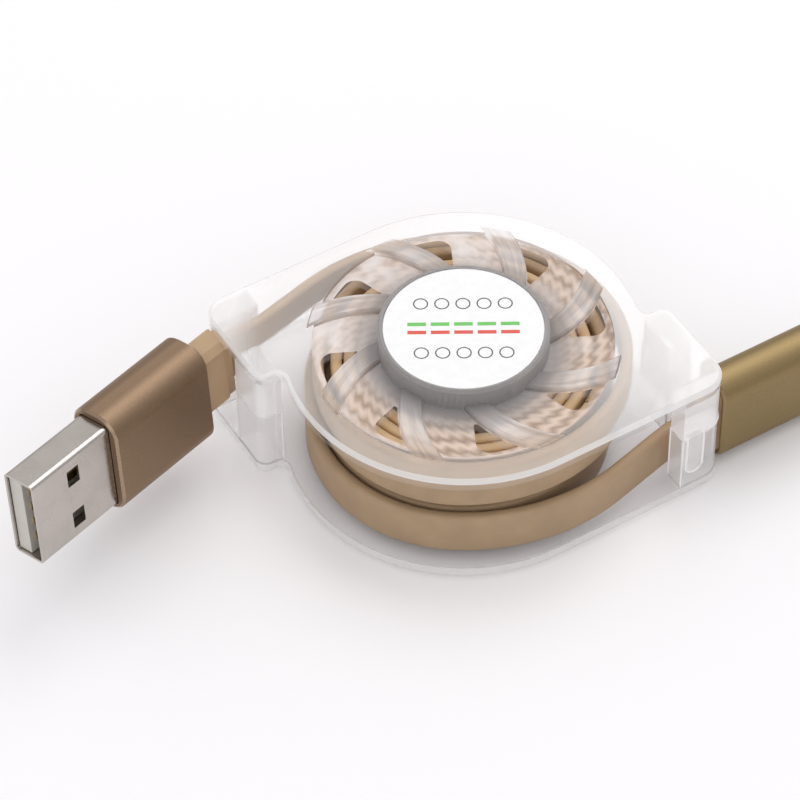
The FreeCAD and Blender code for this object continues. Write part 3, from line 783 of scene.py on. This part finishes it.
def neck_ring(neck, turn, drop):
    """Ribbon's section at a plug's neck, slid along the plug to the neck's upright back face."""
    axis = turn @ Vector((1, 0, 0))
    ring = [neck + turn @ Vector((0, -side, rise + drop)) for side, rise in ribbon_section()]
    return [point + axis * ((neck.x - point.x) / axis.x) for point in ring]


def cable(name, coil_name, stations, coil_stations, bottom_z, neck, neck_turn, drop, replaced):
    """One layer of ribbon: the coil on the reel, and the run that goes on to the plug's neck."""
    # The coil wears the lighter, lit copy of the ribbon's colour and the run the darker, shaded one: painted
    # light and shade
    coil = skin(coil_name, ribbon_rings(coil_stations, bottom_z, coil_phase), lit_coil_tan)
    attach(coil, "reel")
    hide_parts(replaced[0])
    rings = ribbon_rings(stations, bottom_z, run_phase)
    last = neck_ring(neck, neck_turn, drop)
    first = rings[-1]
    for i in range(1, tail_stations + 1):
        share = i / tail_stations
        rings.append([a.lerp(b, share) for a, b in zip(first, last)])
    run = skin(name, rings, tan)
    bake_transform(run)
    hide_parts(*replaced[1:])


usb_a_face = neck_corners("usb_a_strain_relief", Vector((1, 0, 0)))
usb_c_neck = middle_of(neck_corners("usb_c_strain_relief", Vector((-1, 0, 0))))
cable("cable_lower", "wound_lower", run_path(tight_turn), coil_path(), lower_z,
      usb_c_neck, Matrix.Identity(3), lower_z + ribbon_width / 2 - usb_c_neck.z,
      ("cable_lower_coil", "cable_lower_run", "cable_right_tail"))
cable("cable_upper", "wound_upper", turned(run_path(slack_turn)), turned(coil_path()), upper_z,
      middle_of(usb_a_face), usb_a_rotation, 0.0,
      ("cable_upper_coil", "cable_upper_run", "cable_left_tail"))


# Neck of the type A strain relief, carried on into the slot

def neck_tongue():
    """Tongue a little smaller than the neck's back face, kept inside the slot."""
    face = [Vector(corner) for corner in {tuple(round(c, 3) for c in corner) for corner in usb_a_face}]
    middle = middle_of(face)
    face.sort(key=lambda corner: math.atan2(corner.z - middle.z, corner.y - middle.y))
    inward = usb_a_rotation @ Vector((-1, 0, 0))
    side = slot_side - tongue_gap
    top = cover_under - tongue_gap
    rings = []
    for way in (-tongue_sink, tongue_reach):
        ring = [middle + (corner - middle) * tongue_share + inward * way for corner in face]
        rings.append([Vector((point.x, min(point.y, side), min(point.z, top))) for point in ring])
    tongue = skin("usb_a_neck_tongue", rings, relief_tan)
    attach(tongue, "usb_a_plug")


neck_tongue()


# Painted highlights: thin rods along the clear mouldings' rounded edges

def sharp_edges(mesh):
    """Pairs of corners, in micrometres, where two faces meet at a sharp angle."""
    normals = {}
    for face in mesh.polygons:
        spots = [tuple(round(c / MM * microns_per_mm) for c in mesh.vertices[v].co) for v in face.vertices]
        for pair in zip(spots, spots[1:] + spots[:1]):
            if pair[0] != pair[1]:
                normals.setdefault(tuple(sorted(pair)), []).append(face.normal)
    return [pair for pair, met in normals.items() if len(met) == 2 and met[0].angle(met[1]) > glint_angle]


def chains(pairs):
    """Joins pairs of corners into runs of corners, in millimetres."""
    meeting = {}
    for pair in pairs:
        for spot in pair:
            meeting.setdefault(spot, set()).add(pair)
    left = set(pairs)
    runs = []
    while left:
        pair = left.pop()
        run = list(pair)
        for _ in range(2):
            while True:
                following = [p for p in meeting[run[-1]] if p in left]
                if len(following) != 1 or len(meeting[run[-1]]) != 2:
                    break
                left.discard(following[0])
                run.append(following[0][1] if following[0][0] == run[-1] else following[0][0])
            run.reverse()
        runs.append([Vector(spot) / microns_per_mm for spot in run])
    return runs


def rod(run, first):
    """Points in metres and faces of a thin rod along a run of corners, its points numbered from first."""
    closed = run[0] == run[-1]
    spots = run[:-1] if closed else run
    count = len(spots)
    points = []
    faces = []
    for i, spot in enumerate(spots):
        before = spots[i - 1] if closed or i else spot
        after = spots[(i + 1) % count] if closed or i < count - 1 else spot
        way = (after - before).normalized()
        side = way.orthogonal().normalized()
        if abs(way.z) < upright_limit:
            side = way.cross(Vector((0, 0, 1))).normalized()
        over = way.cross(side)
        for k in range(glint_sides):
            turn = math.tau * k / glint_sides
            points.append((spot + (side * math.cos(turn) + over * math.sin(turn)) * glint_radius) * MM)
    for i in range(count if closed else count - 1):
        here = first + i * glint_sides
        onward = first + (i + 1) % count * glint_sides
        for k in range(glint_sides):
            j = (k + 1) % glint_sides
            faces.append((here + k, here + j, onward + j, onward + k))
    if not closed:
        end = first + len(points)
        faces.append(tuple(range(first, first + glint_sides))[::-1])
        faces.append(tuple(range(end - glint_sides, end)))
    return points, faces


def glints(node):
    """Thin rods along a cover's sharp edges as painted highlights, bright except round the base plate."""
    points = []
    faces = []
    base_faces = []
    for run in chains(sharp_edges(nodes[node].data)):
        middle = run[len(run) // 2]
        under_cover = abs(middle.z - cover_under) < wide_tolerance
        if under_cover or math.hypot(middle.x, middle.y) < panel_radius + arm_overrun:
            continue
        rod_points, rod_faces = rod(run, len(points))
        if middle.z < plate_thickness + wide_tolerance:
            base_faces.extend(range(len(faces), len(faces) + len(rod_faces)))
        points += rod_points
        faces += rod_faces
    piece = new_piece(node + "_glints", points, faces, glint, base_glint)
    for face in base_faces:
        piece.data.polygons[face].material_index = 1
    smooth(piece.data, glint_smooth)
    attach(piece, "case")


glints("top_cover")
glints("bottom_cover")


# Print on the label: two dashed lines between two rows of rings

def print_shape(name, corners, faces, material):
    """Flat shape just above the label, turned to face the front."""
    turn = Matrix.Rotation(math.radians(label_turn), 3, "Z")
    rise = Vector((0, 0, label_box[1].z + print_lift * MM))
    piece = new_piece(name, [turn @ Vector((x, y, 0)) * MM + rise for x, y in corners], faces, material)
    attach(piece, "case")


def print_dashes(name, y, material):
    """Row of dashes, centred on the label's upright middle line."""
    corners = []
    faces = []
    for i in range(dash_count):
        middle = (i - (dash_count - 1) / 2) * dash_pitch
        faces.append(tuple(range(len(corners), len(corners) + 4)))
        corners += [(middle + side * dash_length / 2, y + rise * dash_height / 2) for side, rise in square]
    print_shape(name, corners, faces, material)


def print_rings(name, y, material):
    """Row of thin rings, centred in the same way."""
    corners = []
    faces = []
    for i in range(ring_count):
        first = len(corners)
        middle = (i - (ring_count - 1) / 2) * ring_pitch
        for radius in (ring_radius, ring_radius - ring_stroke):
            corners += [(middle + radius * math.cos(k * math.tau / ring_sides),
                         y + radius * math.sin(k * math.tau / ring_sides)) for k in range(ring_sides)]
        for k in range(ring_sides):
            j = (k + 1) % ring_sides
            faces.append((first + k, first + j, first + ring_sides + j, first + ring_sides + k))
    print_shape(name, corners, faces, material)


print_rings("print_rings_back", ring_row, print_grey)
print_dashes("print_dashes_back", dash_row, print_green)
print_dashes("print_dashes_front", -dash_row, print_red)
print_rings("print_rings_front", -ring_row, print_grey)


# Stage, light and camera

def floor():
    """White floor just under the case."""
    corners = [(x * floor_reach, y * floor_reach, 0) for x, y in square]
    material = new_shader("floor_white", (0.93, 0.92, 0.935), roughness=0.7, Specular_IOR_Level=0.2)[0]
    piece = new_piece("floor", corners, [(0, 1, 2, 3)], material)
    piece.location.z = -floor_drop


def area_lamp(name, place, aim, size, power):
    """Round white lamp, with lengths in metres and power in watts."""
    light = bpy.data.lights.new(name, "AREA")
    light.shape = "DISK"
    light.size = size
    light.energy = power
    lamp = bpy.data.objects.new(name, light)
    lamp.location = place
    lamp.rotation_euler = (Vector(aim) - Vector(place)).to_track_quat("-Z", "Y").to_euler()
    bpy.context.scene.collection.objects.link(lamp)


def world():
    """Soft white surroundings, brighter overhead than at the horizon."""
    scene_world = bpy.data.worlds.new("studio")
    bpy.context.scene.world = scene_world
    scene_world.use_nodes = True
    tree = scene_world.node_tree
    place = add_node(tree, "ShaderNodeTexCoord")
    split = add_node(tree, "ShaderNodeSeparateXYZ")
    background = tree.nodes["Background"]
    tree.links.new(place.outputs["Generated"], split.inputs["Vector"])
    sky = colour_ramp(tree, split.outputs["Z"], ((0.0, (0.42, 0.415, 0.42)), (0.75, (1.0, 0.995, 1.0))))
    tree.links.new(sky, background.inputs["Color"])
    background.inputs["Strength"].default_value = 0.89


def camera():
    """Long lens from the front left, as in the photograph."""
    place = Vector((-0.16991, -0.26801, 0.36960))
    aim = Vector((-0.00681, 0.00332, 0.0080))
    roll = math.radians(-0.58)
    forward = (aim - place).normalized()
    right = forward.cross(Vector((0, 0, 1))).normalized()
    above = right.cross(forward)
    right_rolled = right * math.cos(roll) + above * math.sin(roll)
    above_rolled = above * math.cos(roll) - right * math.sin(roll)
    data = bpy.data.cameras.new("camera")
    data.sensor_width = 36.0
    data.lens = 180.8
    data.clip_end = 20.0
    item = bpy.data.objects.new("camera", data)
    turn = Matrix((right_rolled, above_rolled, -forward)).transposed()
    item.matrix_world = Matrix.Translation(place) @ turn.to_4x4()
    bpy.context.scene.collection.objects.link(item)
    bpy.context.scene.camera = item


floor()
world()
area_lamp("key", place=(0.355, 0.31, 0.645), aim=(0, 0, 0.01), size=0.5, power=1.45)
area_lamp("side", place=(0.43, -0.05, 0.70), aim=(0.05, 0, 0.01), size=0.3, power=0.45)
area_lamp("back", place=(-0.30, 0.50, 0.60), aim=(0, 0, 0.01), size=0.5, power=0.2)
area_lamp("front", place=(-0.45, -0.45, 0.35), aim=(0, 0, 0.01), size=0.6, power=0.55)
camera()
bpy.context.scene.view_settings.view_transform = "Standard"
